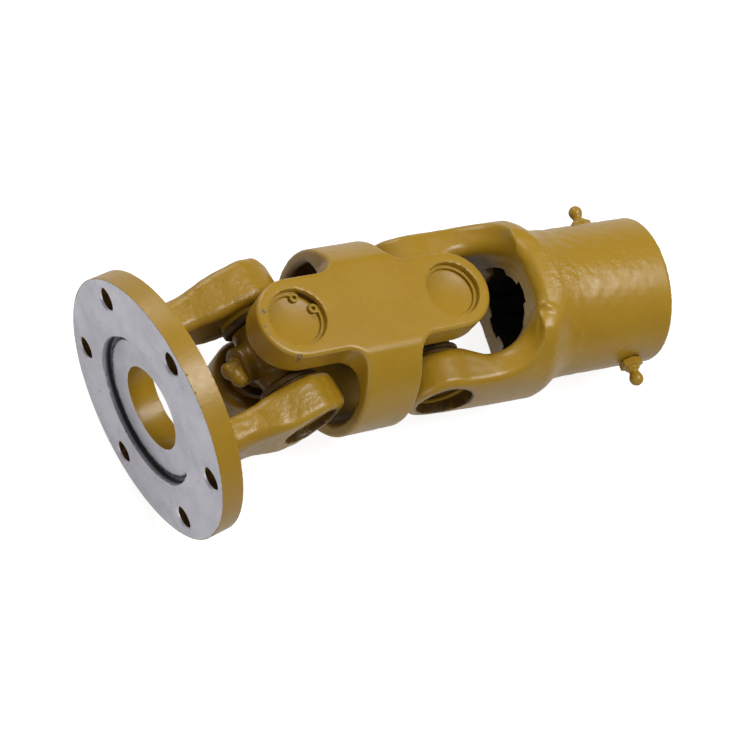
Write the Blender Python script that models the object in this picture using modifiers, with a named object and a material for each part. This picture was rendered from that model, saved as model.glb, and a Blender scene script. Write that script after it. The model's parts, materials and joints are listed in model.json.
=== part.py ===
# Double universal joint shaft: a bolted flange yoke, a double centre yoke and a
# splined sleeve yoke, linked by two needle-bearing crosses.  Lengths are in metres,
# +Z is up, and the shaft lies on the ground z = 0 with its length along +X.
#
# Each yoke is drawn in its own frame: its shaft axis is local X and its cross sits at
# the local origin.  The centre yoke has ears on +Y and -Y at both of its ends, the
# two end yokes have ears on +Z and -Z.

import math

import bmesh
import bpy
from mathutils import Euler, Matrix, Vector

MM = 0.001

# ---------------------------------------------------------------- fits and facets
FIT_GAP = 0.3 * MM            # clearance kept between any two pieces that touch
ROUND = 20                    # facets on bearing-sized circles
LARGE_ROUND = 44              # facets on flange-sized circles
SMALL_ROUND = 10              # facets on screws and grease drillings

# ---------------------------------------------------------------- cross and bearings
CROSS_SPACING = 65.6 * MM     # distance between the two cross centres
CROSS_SPAN = 54.8 * MM        # over the closed ends of two opposite cups
CUP_DIAMETER = 22.0 * MM      # bearing cup, and the bore it is pressed into
CUP_LENGTH = 12.5 * MM
CUP_FLOOR = 2.5 * MM
JOURNAL_DIAMETER = 14.0 * MM
NEEDLE_DIAMETER = 2.0 * MM
NEEDLE_COUNT = 20
WASHER_THICKNESS = 1.0 * MM
WASHER_HOLE = 4.0 * MM
SEAL_THICKNESS = 2.2 * MM
SEAL_DIAMETER = 22.4 * MM
SHOULDER_DIAMETER = 17.6 * MM
CROSS_BODY_DIAMETER = 23.0 * MM
GREASE_DRILLING = 3.0 * MM

RING_THICKNESS = 1.2 * MM     # internal snap ring
RING_GROOVE_DEPTH = 0.9 * MM
RING_WIDTH = 1.9 * MM
RING_GAP_ANGLE = math.radians(52)
RING_LUG_DIAMETER = 3.6 * MM
RING_TURN = math.radians(47)  # where the ring's gap points

# ---------------------------------------------------------------- ears
EAR_FACE = 30.7 * MM          # ear outer face from the shaft axis
EAR_INNER_FACE = 16.5 * MM
EAR_RADIUS = 15.4 * MM
EAR_EDGE_ROUND = 1.6 * MM

# ---------------------------------------------------------------- centre yoke
RING_BODY_RADIUS = 35.5 * MM
RING_BODY_LENGTH = 23.5 * MM
RING_BODY_WALL = 5.5 * MM
WEB_HALF_HEIGHT = 15.7 * MM   # forging draft: a little taller than the ears
WEB_FILLET = 7.0 * MM
WINDOW_FILLET = 5.0 * MM

# ---------------------------------------------------------------- flange yoke
FLANGE_DIAMETER = 100.0 * MM
FLANGE_THICKNESS = 8.3 * MM
FLANGE_FACE_DISTANCE = 52.6 * MM   # cross centre to mounting face
FLANGE_EDGE = 0.5 * MM
BOLT_CIRCLE = 84.0 * MM
BOLT_HOLE = 8.4 * MM
BOLT_COUNT = 6
BOLT_CHAMFER = 0.4 * MM
PILOT_DIAMETER = 57.0 * MM
PILOT_DEPTH = 2.6 * MM
FLANGE_BORE = 32.0 * MM
FLANGE_ARM_OUTER = 28.2 * MM
FLANGE_ARM_INNER = 17.3 * MM
FLANGE_ARM_HALF_WIDTH = 11.5 * MM
FLANGE_ARM_ROOT_FILLET = 6.0 * MM
BOSS_STEP = 13.0 * MM

# ---------------------------------------------------------------- sleeve yoke
SLEEVE_DIAMETER = 58.5 * MM
SLEEVE_END_DISTANCE = 95.2 * MM    # cross centre to open end
SLEEVE_EDGE = 1.2 * MM
SLEEVE_OVERLAP = 0.6 * MM          # how far the shoulder sinks into the sleeve
THROAT_BOTTOM = 38.0 * MM
THROAT_HALF_HEIGHT = 20.5 * MM
THROAT_ROUND = 16.0 * MM
SHOULDER_HEIGHT = 32.4 * MM
COLLAR_RADIUS = 33.2 * MM          # round collar where the arms meet the sleeve
COLLAR_HALF_WIDTH = 30.0 * MM      # the collar's flats beside the throat
SHOULDER_START = 38.0 * MM
SHOULDER_END = 51.0 * MM
SLEEVE_ARM_HALF_WIDTH = 14.2 * MM
SPLINE_MAJOR = 34.9 * MM           # 1 3/8 inch bore with six splines
SPLINE_MINOR = 29.8 * MM
SPLINE_SLOT = 8.7 * MM
SPLINE_COUNT = 6
SPLINE_CHAMFER = 1.5 * MM

# ---------------------------------------------------------------- grease nipples
NIPPLE_STATION = 82.2 * MM         # sleeve nipples, from the rear cross centre
NIPPLE_THREAD = 6.0 * MM
NIPPLE_THREAD_LENGTH = 5.5 * MM
NIPPLE_HEX = 8.0 * MM              # across flats
NIPPLE_HEX_HEIGHT = 3.0 * MM
NIPPLE_NECK = 4.0 * MM
NIPPLE_NECK_LENGTH = 2.2 * MM
NIPPLE_BALL = 5.6 * MM
CROSS_NIPPLE_SEAT = 11.8 * MM      # face of the cross boss under the nipple
CROSS_BOSS_DIAMETER = 12.0 * MM
ELBOW_HEIGHT = 3.4 * MM
FRONT_NIPPLE_TURN = math.radians(17)
REAR_NIPPLE_TURN = math.radians(45)

# ---------------------------------------------------------------- pose as it lies
FRONT_PITCH = math.radians(-11.4)  # front cross turned about the centre yoke's Y
FRONT_YAW = math.radians(-5.6)     # flange yoke turned about the front cross's Z
REAR_PITCH = math.radians(4.5)
REAR_YAW = math.radians(-7.6)
LYING_ROLL_GUESS = math.radians(93)

PAINT = (0.42, 0.235, 0.03, 1.0)
STEEL = (0.55, 0.55, 0.56, 1.0)
RUBBER = (0.02, 0.02, 0.02, 1.0)


# ---------------------------------------------------------------- scene and helpers
for old in list(bpy.data.objects):
    bpy.data.objects.remove(old, do_unlink=True)

parts = bpy.data.collections.new("universal_joint_shaft")
cutters = bpy.data.collections.new("cutters")
bpy.context.scene.collection.children.link(parts)
bpy.context.scene.collection.children.link(cutters)


def make_material(name, colour, roughness, metallic):
    material = bpy.data.materials.new(name)
    material.use_nodes = True
    shader = material.node_tree.nodes["Principled BSDF"]
    shader.inputs["Base Color"].default_value = colour
    shader.inputs["Roughness"].default_value = roughness
    shader.inputs["Metallic"].default_value = metallic
    return material


paint = make_material("ochre_paint", PAINT, 0.4, 0.0)
bare_steel = make_material("bearing_steel", STEEL, 0.3, 1.0)
rubber = make_material("seal_rubber", RUBBER, 0.7, 0.0)


def add_frame(name, parent, location, rotation):
    """An empty that carries the pieces of one moving body."""
    frame = bpy.data.objects.new(name, None)
    frame.location = location
    frame.rotation_euler = rotation
    frame.parent = parent
    bpy.context.scene.collection.objects.link(frame)
    return frame


def add_object(name, mesh, collection, parent, material=None, location=(0, 0, 0), rotation=(0, 0, 0)):
    obj = bpy.data.objects.new(name, mesh)
    obj.location = location
    obj.rotation_euler = rotation
    obj.parent = parent
    collection.objects.link(obj)
    if collection == cutters:
        obj.hide_render = True
        obj.display_type = "WIRE"
    if material and not mesh.materials:
        mesh.materials.append(material)
    return obj


def cylinder_mesh(name, diameter, length, segments, top_diameter=None):
    """A cylinder or cone along Z, centred on its length."""
    mesh = bpy.data.meshes.new(name)
    shape = bmesh.new()
    top = diameter if top_diameter is None else top_diameter
    bmesh.ops.create_cone(shape, cap_ends=True, segments=segments, radius1=diameter / 2,
                          radius2=top / 2, depth=length)
    shape.to_mesh(mesh)
    shape.free()
    mesh.transform(Matrix.Rotation(math.pi / segments, 4, "Z"))
    return mesh


def turned_mesh(name, profile, segments, closed):
    """Profile points (radius, height) turned about Z with a Screw modifier."""
    mesh = bpy.data.meshes.new(name + "_profile")
    points = [(radius, 0, height) for radius, height in profile]
    edges = [(i, i + 1) for i in range(len(points) - 1)]
    if closed:
        edges.append((len(points) - 1, 0))
    mesh.from_pydata(points, edges, [])
    holder = bpy.data.objects.new(name + "_turning", mesh)
    cutters.objects.link(holder)
    screw = holder.modifiers.new("turn", "SCREW")
    screw.steps = segments
    screw.render_steps = segments
    screw.use_merge_vertices = True
    screw.merge_threshold = 0.00001
    turned = bake(holder, name)
    turned.transform(Matrix.Rotation(math.pi / segments, 4, "Z"))
    return turned


def bake(holder, name):
    """The evaluated mesh of an object, welded; the object is removed."""
    bpy.context.view_layer.update()
    graph = bpy.context.evaluated_depsgraph_get()
    mesh = bpy.data.meshes.new_from_object(holder.evaluated_get(graph))
    mesh.name = name
    shape = bmesh.new()
    shape.from_mesh(mesh)
    bmesh.ops.remove_doubles(shape, verts=shape.verts, dist=0.000002)
    bmesh.ops.dissolve_limit(shape, angle_limit=0.0005, verts=shape.verts, edges=shape.edges)
    bmesh.ops.recalc_face_normals(shape, faces=shape.faces)
    shape.to_mesh(mesh)
    shape.free()
    bpy.data.objects.remove(holder, do_unlink=True)
    return mesh


def plate_mesh(name, outlines, thickness, edge_round=0.0):
    """Closed outlines in the XY plane, filled and given a thickness along Z."""
    curve = bpy.data.curves.new(name, "CURVE")
    curve.dimensions = "2D"
    curve.fill_mode = "BOTH"
    curve.extrude = thickness / 2 - edge_round
    curve.bevel_depth = edge_round
    curve.offset = -edge_round
    curve.bevel_resolution = 0
    for drawn in outlines:
        outline = without_repeats(drawn)
        spline = curve.splines.new("POLY")
        spline.points.add(len(outline) - 1)
        for point, (x, y) in zip(spline.points, outline):
            point.co = (x, y, 0, 1)
        spline.use_cyclic_u = True
    holder = bpy.data.objects.new(name, curve)
    cutters.objects.link(holder)
    return bake(holder, name)


def arc(centre_x, centre_y, radius, start_degrees, end_degrees, steps):
    """Points of an arc, both ends included."""
    points = []
    for i in range(steps + 1):
        angle = math.radians(start_degrees + (end_degrees - start_degrees) * i / steps)
        points.append((centre_x + radius * math.cos(angle), centre_y + radius * math.sin(angle)))
    return points


def without_repeats(outline):
    """The outline without points that lie on the one before them."""
    kept = []
    for i, point in enumerate(outline):
        if math.dist(point, outline[i - 1]) > 0.00001:
            kept.append(point)
    return kept


def four_way(quarter):
    """A quarter outline, from the X axis round to the Y axis, mirrored to all four."""
    half = quarter + [(-x, y) for x, y in reversed(quarter)]
    return half + [(-x, -y) for x, y in half]


def boolean(target, tool, operation):
    modifier = target.modifiers.new(operation.lower() + "_" + tool.name, "BOOLEAN")
    modifier.operation = operation
    modifier.object = tool
    modifier.solver = "EXACT"


def cut(target, tool):
    boolean(target, tool, "DIFFERENCE")


def shade_round(obj, angle=35):
    obj.data.shade_smooth()
    obj.data.set_sharp_from_angle(angle=math.radians(angle))


# Turning a mesh drawn along local Z so that it points along one of the yoke's axes.
ALONG_X = (0, math.pi / 2, 0)
POINTS_OUT = {"+Y": (-math.pi / 2, 0, 0), "-Y": (math.pi / 2, 0, 0), "+Z": (0, 0, 0), "-Z": (math.pi, 0, 0)}
# A plate drawn in XY is stood up into the XZ plane, or across the shaft into YZ.
INTO_XZ = (math.pi / 2, 0, 0)
INTO_YZ = (math.pi / 2, 0, math.pi / 2)


# ---------------------------------------------------------------- derived places
cup_top = CROSS_SPAN / 2
cup_mouth = cup_top - CUP_LENGTH
cup_floor_inside = cup_top - CUP_FLOOR
washer_centre = cup_floor_inside - FIT_GAP - WASHER_THICKNESS / 2
journal_end = washer_centre - WASHER_THICKNESS / 2 - FIT_GAP
seal_centre = cup_mouth - FIT_GAP - SEAL_THICKNESS / 2
shoulder_end = seal_centre - SEAL_THICKNESS / 2 - FIT_GAP
ring_centre = cup_top + FIT_GAP + RING_THICKNESS / 2
cup_inner_radius = JOURNAL_DIAMETER / 2 + NEEDLE_DIAMETER
bore_radius = CUP_DIAMETER / 2
groove_radius = bore_radius + RING_GROOVE_DEPTH
half_spacing = CROSS_SPACING / 2
sleeve_radius = SLEEVE_DIAMETER / 2
flange_back = -FLANGE_FACE_DISTANCE + FLANGE_THICKNESS

# ---------------------------------------------------------------- frames
stand = add_frame("stand", None, (0, 0, 0), (0, 0, 0))
front_cross_frame = add_frame("front_cross_frame", stand, (-half_spacing, 0, 0), (0, FRONT_PITCH, 0))
flange_frame = add_frame("flange_frame", front_cross_frame, (0, 0, 0), (0, 0, FRONT_YAW))
rear_cross_frame = add_frame("rear_cross_frame", stand, (half_spacing, 0, 0), (0, REAR_PITCH, 0))
sleeve_frame = add_frame("sleeve_frame", rear_cross_frame, (0, 0, 0), (0, 0, REAR_YAW))


# ---------------------------------------------------------------- bearing sets
def needle_set_mesh():
    """A full complement of needles as one ring, with a flat for each needle."""
    inner = JOURNAL_DIAMETER / 2 + FIT_GAP
    outer = cup_inner_radius - FIT_GAP
    outside = arc(0, 0, outer, 0, 360 - 360 / NEEDLE_COUNT, NEEDLE_COUNT - 1)
    inside = arc(0, 0, inner, 0, 360 - 360 / NEEDLE_COUNT, NEEDLE_COUNT - 1)
    length = cup_floor_inside - cup_mouth - WASHER_THICKNESS - 4 * FIT_GAP
    return plate_mesh("needle_set", [outside, inside], length)


def snap_ring_mesh():
    """An open ring with a round lug at each end of its gap."""
    outer = groove_radius - FIT_GAP
    inner = outer - RING_WIDTH
    half_gap = math.degrees(RING_GAP_ANGLE) / 2
    lug_radius = RING_LUG_DIAMETER / 2
    lug_centre = bore_radius - FIT_GAP - lug_radius
    steps = ROUND - 4
    outline = arc(0, 0, outer, half_gap, 360 - half_gap, steps)
    for side in (-1, 1):
        at = math.radians(side * half_gap)
        lug_x = lug_centre * math.cos(at)
        lug_y = lug_centre * math.sin(at)
        toward_gap = math.degrees(at) - 90 * side
        start = toward_gap + 60 * side
        outline += arc(lug_x, lug_y, lug_radius, start, start - 200 * side, 4)[::-side]
        if side < 0:
            outline += arc(0, 0, inner, 360 - half_gap - 9, half_gap + 9, steps)
    return plate_mesh("snap_ring", [outline], RING_THICKNESS)


cup_radius = bore_radius - FIT_GAP
cup_profile = [
    (0, cup_top), (cup_radius - 0.6 * MM, cup_top), (cup_radius, cup_top - 0.6 * MM),
    (cup_radius, cup_mouth), (cup_inner_radius, cup_mouth),
    (cup_inner_radius, cup_floor_inside), (0, cup_floor_inside)]
cup_mesh = turned_mesh("bearing_cup", cup_profile, ROUND, False)
needle_mesh = needle_set_mesh()
ring_mesh = snap_ring_mesh()

seal_profile = [
    (SEAL_DIAMETER / 2, SEAL_THICKNESS / 2), (SEAL_DIAMETER / 2, -SEAL_THICKNESS / 2),
    (JOURNAL_DIAMETER / 2 + FIT_GAP, -SEAL_THICKNESS / 2),
    (JOURNAL_DIAMETER / 2 + FIT_GAP, SEAL_THICKNESS / 2)]
seal_mesh = turned_mesh("seal", seal_profile, ROUND, True)

washer_radius = cup_inner_radius - FIT_GAP
washer_profile = [
    (washer_radius, WASHER_THICKNESS / 2), (washer_radius, -WASHER_THICKNESS / 2),
    (WASHER_HOLE / 2, -WASHER_THICKNESS / 2), (WASHER_HOLE / 2, WASHER_THICKNESS / 2)]
washer_mesh = turned_mesh("thrust_washer", washer_profile, SMALL_ROUND, True)

needle_centre = (cup_mouth + FIT_GAP + washer_centre - WASHER_THICKNESS / 2 - FIT_GAP) / 2


def add_bearing(label, frame, cross_centre, direction):
    """Cup, needles, thrust washer, seal and snap ring of one trunnion."""
    turn = Euler(POINTS_OUT[direction])
    out = turn.to_matrix() @ Vector((0, 0, 1))
    centre = Vector(cross_centre)
    pieces = [
        ("bearing_cup_", cup_mesh, 0.0, bare_steel), ("needle_set_", needle_mesh, needle_centre, bare_steel),
        ("thrust_washer_", washer_mesh, washer_centre, bare_steel), ("seal_", seal_mesh, seal_centre, rubber)]
    for prefix, mesh, distance, material in pieces:
        obj = add_object(prefix + label, mesh, parts, frame, material, centre + out * distance, turn)
        shade_round(obj)
    ring_turn = (turn.to_matrix() @ Matrix.Rotation(RING_TURN, 3, "Z")).to_euler()
    add_object("snap_ring_" + label, ring_mesh, parts, frame, bare_steel, centre + out * ring_centre, ring_turn)


def bore_ears(target, frame, cross_centre, directions):
    """The bearing bore and the snap-ring groove through each ear."""
    profile = [
        (0, EAR_FACE + 2 * MM), (bore_radius, EAR_FACE + 2 * MM),
        (bore_radius, ring_centre + RING_THICKNESS / 2 + FIT_GAP),
        (groove_radius, ring_centre + RING_THICKNESS / 2 + FIT_GAP),
        (groove_radius, ring_centre - RING_THICKNESS / 2 - FIT_GAP),
        (bore_radius, ring_centre - RING_THICKNESS / 2 - FIT_GAP),
        (bore_radius, EAR_INNER_FACE - 4 * MM), (0, EAR_INNER_FACE - 4 * MM)]
    tool_mesh = turned_mesh("ear_bore", profile, ROUND, False)
    for number, direction in enumerate(directions):
        tool_name = "cut_bore_" + target.name + "_" + str(number)
        tool = add_object(tool_name, tool_mesh, cutters, frame, None, cross_centre, POINTS_OUT[direction])
        cut(target, tool)


# ---------------------------------------------------------------- centre yoke
def centre_outline():
    """A quarter of the side outline: round ear, straight edge, fillet up to the ring."""
    half_ring = RING_BODY_LENGTH / 2
    quarter = arc(half_spacing, 0, EAR_RADIUS, 0, 90, 9)
    quarter += arc(half_ring + WEB_FILLET, WEB_HALF_HEIGHT + WEB_FILLET, WEB_FILLET, 270, 180, 5)
    quarter.append((half_ring, RING_BODY_RADIUS + 3 * MM))
    return four_way(quarter)


def window_outline():
    """The opening through the ring: a round hole cut by the two inner ear faces."""
    hole_radius = RING_BODY_RADIUS - RING_BODY_WALL
    corner_x = EAR_INNER_FACE - WINDOW_FILLET
    corner_y = math.sqrt((hole_radius - WINDOW_FILLET) ** 2 - corner_x ** 2)
    meet = math.degrees(math.atan2(corner_y, corner_x))
    quarter = arc(corner_x, corner_y, WINDOW_FILLET, 0, meet, 4)
    quarter += arc(0, 0, hole_radius, meet, 90, 5)[1:-1]
    return four_way(quarter)


centre_mesh = plate_mesh("centre_yoke", [centre_outline()], 2 * EAR_FACE, EAR_EDGE_ROUND)
centre_yoke = add_object("centre_yoke", centre_mesh, parts, stand, paint, (0, 0, 0), INTO_XZ)

through_length = CROSS_SPACING + 3 * EAR_RADIUS
swing_mesh = cylinder_mesh("swing", 2 * RING_BODY_RADIUS, through_length, LARGE_ROUND)
swing = add_object("keep_inside_swing", swing_mesh, cutters, stand, None, (0, 0, 0), ALONG_X)
boolean(centre_yoke, swing, "INTERSECT")
window_mesh = plate_mesh("window", [window_outline()], through_length)
window = add_object("cut_window", window_mesh, cutters, stand, None, (0, 0, 0), INTO_YZ)
cut(centre_yoke, window)
bore_ears(centre_yoke, stand, (-half_spacing, 0, 0), ("+Y", "-Y"))
bore_ears(centre_yoke, stand, (half_spacing, 0, 0), ("+Y", "-Y"))
shade_round(centre_yoke)


# ---------------------------------------------------------------- flange yoke
def mirrored(outline, axis):
    """The outline mirrored across one of its two axes, running the other way round."""
    if axis == "Y":
        return [(x, -y) for x, y in reversed(outline)]
    return [(-x, y) for x, y in reversed(outline)]


def flange_arm_side():
    """Side outline of the upper arm: root fillets on the flange, raised bearing boss."""
    fillet = FLANGE_ARM_ROOT_FILLET
    sunk = flange_back - FLANGE_THICKNESS / 3
    ramp = EAR_FACE - FLANGE_ARM_OUTER
    outline = [(EAR_RADIUS, EAR_INNER_FACE), (EAR_RADIUS, EAR_FACE - EAR_EDGE_ROUND)]
    outline += [(EAR_RADIUS - EAR_EDGE_ROUND, EAR_FACE), (-BOSS_STEP, EAR_FACE)]
    outline += [(-BOSS_STEP - ramp, FLANGE_ARM_OUTER)]
    outline += arc(flange_back + fillet, FLANGE_ARM_OUTER + fillet, fillet, 270, 180, 4)
    outline += [(sunk, FLANGE_ARM_OUTER + fillet), (sunk, FLANGE_ARM_INNER - fillet)]
    outline += arc(flange_back + fillet, FLANGE_ARM_INNER - fillet, fillet, 180, 90, 4)
    outline += [(-EAR_RADIUS - ramp, FLANGE_ARM_INNER), (-EAR_RADIUS, EAR_INNER_FACE)]
    return outline


def flange_arm_plan():
    """Plan outline of both arms: round ear, slimmer arm, flared root."""
    fillet = FLANGE_ARM_ROOT_FILLET
    half_width = FLANGE_ARM_HALF_WIDTH
    sunk = flange_back - FLANGE_THICKNESS / 3
    half = arc(0, 0, EAR_RADIUS, 0, 120, 9)
    half.append((-EAR_RADIUS, half_width + 0.4 * MM))
    half.append((-EAR_RADIUS - 4 * MM, half_width))
    half += arc(flange_back + fillet, half_width + fillet, fillet, 270, 210, 3)
    half.append((sunk, half_width + fillet / 2))
    return half + mirrored(half, "Y")


flange_profile = [
    (FLANGE_DIAMETER / 2 - FLANGE_EDGE, flange_back), (FLANGE_DIAMETER / 2, flange_back - FLANGE_EDGE),
    (FLANGE_DIAMETER / 2, FLANGE_EDGE - FLANGE_FACE_DISTANCE),
    (FLANGE_DIAMETER / 2 - FLANGE_EDGE, -FLANGE_FACE_DISTANCE),
    (PILOT_DIAMETER / 2, -FLANGE_FACE_DISTANCE), (PILOT_DIAMETER / 2, PILOT_DEPTH - FLANGE_FACE_DISTANCE),
    (0, PILOT_DEPTH - FLANGE_FACE_DISTANCE)]
flange_profile = [(0, flange_back)] + flange_profile

flange_mesh = turned_mesh("flange_yoke", flange_profile, LARGE_ROUND, False)
flange_yoke = add_object("flange_yoke", flange_mesh, parts, flange_frame, paint, (0, 0, 0), ALONG_X)
upper_arm = flange_arm_side()
lower_arm = mirrored(upper_arm, "Y")
arm_mesh = plate_mesh("flange_arms", [upper_arm, lower_arm], 2 * EAR_RADIUS + 2 * MM)
arms = add_object("join_flange_arms", arm_mesh, cutters, flange_frame, None, (0, 0, 0), INTO_XZ)
plan_mesh = plate_mesh("flange_plan", [flange_arm_plan()], 2 * EAR_FACE + 10 * MM)
plan = add_object("keep_in_flange_plan", plan_mesh, cutters, flange_frame)
boolean(arms, plan, "INTERSECT")
boolean(flange_yoke, arms, "UNION")

flange_bore_mesh = cylinder_mesh("flange_bore", FLANGE_BORE, 2 * FLANGE_THICKNESS + 12 * MM, ROUND)
flange_bore = add_object("cut_flange_bore", flange_bore_mesh, cutters, flange_frame, None,
                         (flange_back, 0, 0), ALONG_X)
cut(flange_yoke, flange_bore)

bolt_profile = [
    (0, FLANGE_THICKNESS + 1 * MM), (BOLT_HOLE / 2 + 1 * MM + BOLT_CHAMFER, FLANGE_THICKNESS + 1 * MM),
    (BOLT_HOLE / 2, FLANGE_THICKNESS - BOLT_CHAMFER), (BOLT_HOLE / 2, BOLT_CHAMFER),
    (BOLT_HOLE / 2 + 1 * MM + BOLT_CHAMFER, -1 * MM), (0, -1 * MM)]
bolt_mesh = turned_mesh("bolt_hole", bolt_profile, 16, False)
for number in range(BOLT_COUNT):
    angle = 2 * math.pi * number / BOLT_COUNT
    hole_at = (-FLANGE_FACE_DISTANCE, BOLT_CIRCLE / 2 * math.cos(angle), BOLT_CIRCLE / 2 * math.sin(angle))
    hole = add_object("cut_bolt_hole_" + str(number), bolt_mesh, cutters, flange_frame, None, hole_at, ALONG_X)
    cut(flange_yoke, hole)
bore_ears(flange_yoke, flange_frame, (0, 0, 0), ("+Z", "-Z"))
shade_round(flange_yoke)


# ---------------------------------------------------------------- sleeve yoke
def sleeve_side():
    """Side outline: two ears, a U-shaped throat and a shoulder down to the sleeve."""
    throat_x = THROAT_BOTTOM - THROAT_ROUND
    throat_z = THROAT_HALF_HEIGHT - THROAT_ROUND
    step = THROAT_HALF_HEIGHT - EAR_INNER_FACE
    half = arc(throat_x, throat_z, THROAT_ROUND, 0, 90, 8)
    half += [(EAR_RADIUS + step / 2, THROAT_HALF_HEIGHT), (EAR_RADIUS - step / 2, EAR_INNER_FACE)]
    half += [(-EAR_RADIUS, EAR_INNER_FACE), (-EAR_RADIUS, EAR_FACE - EAR_EDGE_ROUND)]
    half += [(-EAR_RADIUS + EAR_EDGE_ROUND, EAR_FACE), (EAR_RADIUS - 3 * MM, EAR_FACE)]
    half += [(EAR_RADIUS + 2 * MM, SHOULDER_HEIGHT), (SHOULDER_START, SHOULDER_HEIGHT)]
    half += [(SHOULDER_START + 4 * MM, SHOULDER_HEIGHT - 0.8 * MM)]
    half += [(SHOULDER_END, sleeve_radius - SLEEVE_OVERLAP)]
    return half + mirrored(half, "Y")


def sleeve_plan():
    """Plan outline: round ears, straight arms and a flare out to the sleeve's width."""
    leave = math.degrees(math.acos(SLEEVE_ARM_HALF_WIDTH / EAR_RADIUS))
    flare = THROAT_ROUND
    half = arc(0, 0, EAR_RADIUS, 180, 90 - leave, 10)
    flare_start = THROAT_BOTTOM - 8 * MM - flare
    half += arc(flare_start, SLEEVE_ARM_HALF_WIDTH + flare, flare, 270, 352, 6)
    half += [(SHOULDER_START, COLLAR_HALF_WIDTH), (SHOULDER_END, sleeve_radius - SLEEVE_OVERLAP)]
    return half + mirrored(half, "Y")


def spline_outline():
    """Six straight-sided slots around the bore."""
    major = SPLINE_MAJOR / 2
    minor = SPLINE_MINOR / 2
    at_major = math.degrees(math.asin(SPLINE_SLOT / 2 / major))
    at_minor = math.degrees(math.asin(SPLINE_SLOT / 2 / minor))
    pitch = 360 / SPLINE_COUNT
    outline = []
    for number in range(SPLINE_COUNT):
        middle = pitch * number
        outline += arc(0, 0, major, middle - at_major, middle + at_major, 2)
        outline += arc(0, 0, minor, middle + at_minor, middle + pitch - at_minor, 2)
    return outline


body_mesh = plate_mesh("sleeve_yoke", [sleeve_side()], 2 * SHOULDER_HEIGHT)
sleeve_yoke = add_object("sleeve_yoke", body_mesh, parts, sleeve_frame, paint, (0, 0, 0), INTO_XZ)
sleeve_plan_mesh = plate_mesh("sleeve_plan", [sleeve_plan()], 2 * SHOULDER_HEIGHT + 10 * MM)
sleeve_plan_tool = add_object("keep_in_sleeve_plan", sleeve_plan_mesh, cutters, sleeve_frame)
boolean(sleeve_yoke, sleeve_plan_tool, "INTERSECT")
swing_length = 2 * (SHOULDER_END + EAR_RADIUS)
body_swing_mesh = cylinder_mesh("body_swing", 2 * COLLAR_RADIUS, swing_length, LARGE_ROUND)
body_swing = add_object("keep_in_body_swing", body_swing_mesh, cutters, sleeve_frame, None, (0, 0, 0), ALONG_X)
boolean(sleeve_yoke, body_swing, "INTERSECT")

tube_start = THROAT_BOTTOM + 1 * MM
tube_profile = [
    (0, SLEEVE_END_DISTANCE), (sleeve_radius - SLEEVE_EDGE, SLEEVE_END_DISTANCE),
    (sleeve_radius, SLEEVE_END_DISTANCE - SLEEVE_EDGE), (sleeve_radius, tube_start), (0, tube_start)]
tube_mesh = turned_mesh("sleeve_tube", tube_profile, LARGE_ROUND, False)
tube = add_object("join_sleeve_tube", tube_mesh, cutters, sleeve_frame, None, (0, 0, 0), ALONG_X)
boolean(sleeve_yoke, tube, "UNION")

spline_mesh = plate_mesh("spline_bore", [spline_outline()], 2 * SLEEVE_END_DISTANCE)
spline_bore = add_object("cut_spline_bore", spline_mesh, cutters, sleeve_frame, None,
                         (SLEEVE_END_DISTANCE + THROAT_BOTTOM / 2, 0, 0), INTO_YZ)
cut(sleeve_yoke, spline_bore)
chamfer_reach = SPLINE_CHAMFER + 1 * MM
chamfer_mesh = cylinder_mesh("spline_chamfer", SPLINE_MAJOR - 2 * MM, chamfer_reach + 1 * MM, LARGE_ROUND,
                             SPLINE_MAJOR + 2 * chamfer_reach)
chamfer_at = (SLEEVE_END_DISTANCE + 1 * MM - (chamfer_reach + 1 * MM) / 2, 0, 0)
chamfer = add_object("cut_spline_chamfer", chamfer_mesh, cutters, sleeve_frame, None, chamfer_at, ALONG_X)
cut(sleeve_yoke, chamfer)
nipple_hole_mesh = cylinder_mesh("nipple_hole", NIPPLE_THREAD + 2 * FIT_GAP, 2 * SLEEVE_DIAMETER, SMALL_ROUND)
nipple_hole = add_object("cut_nipple_holes", nipple_hole_mesh, cutters, sleeve_frame, None,
                         (NIPPLE_STATION, 0, 0))
cut(sleeve_yoke, nipple_hole)
bore_ears(sleeve_yoke, sleeve_frame, (0, 0, 0), ("+Z", "-Z"))
shade_round(sleeve_yoke)


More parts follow.
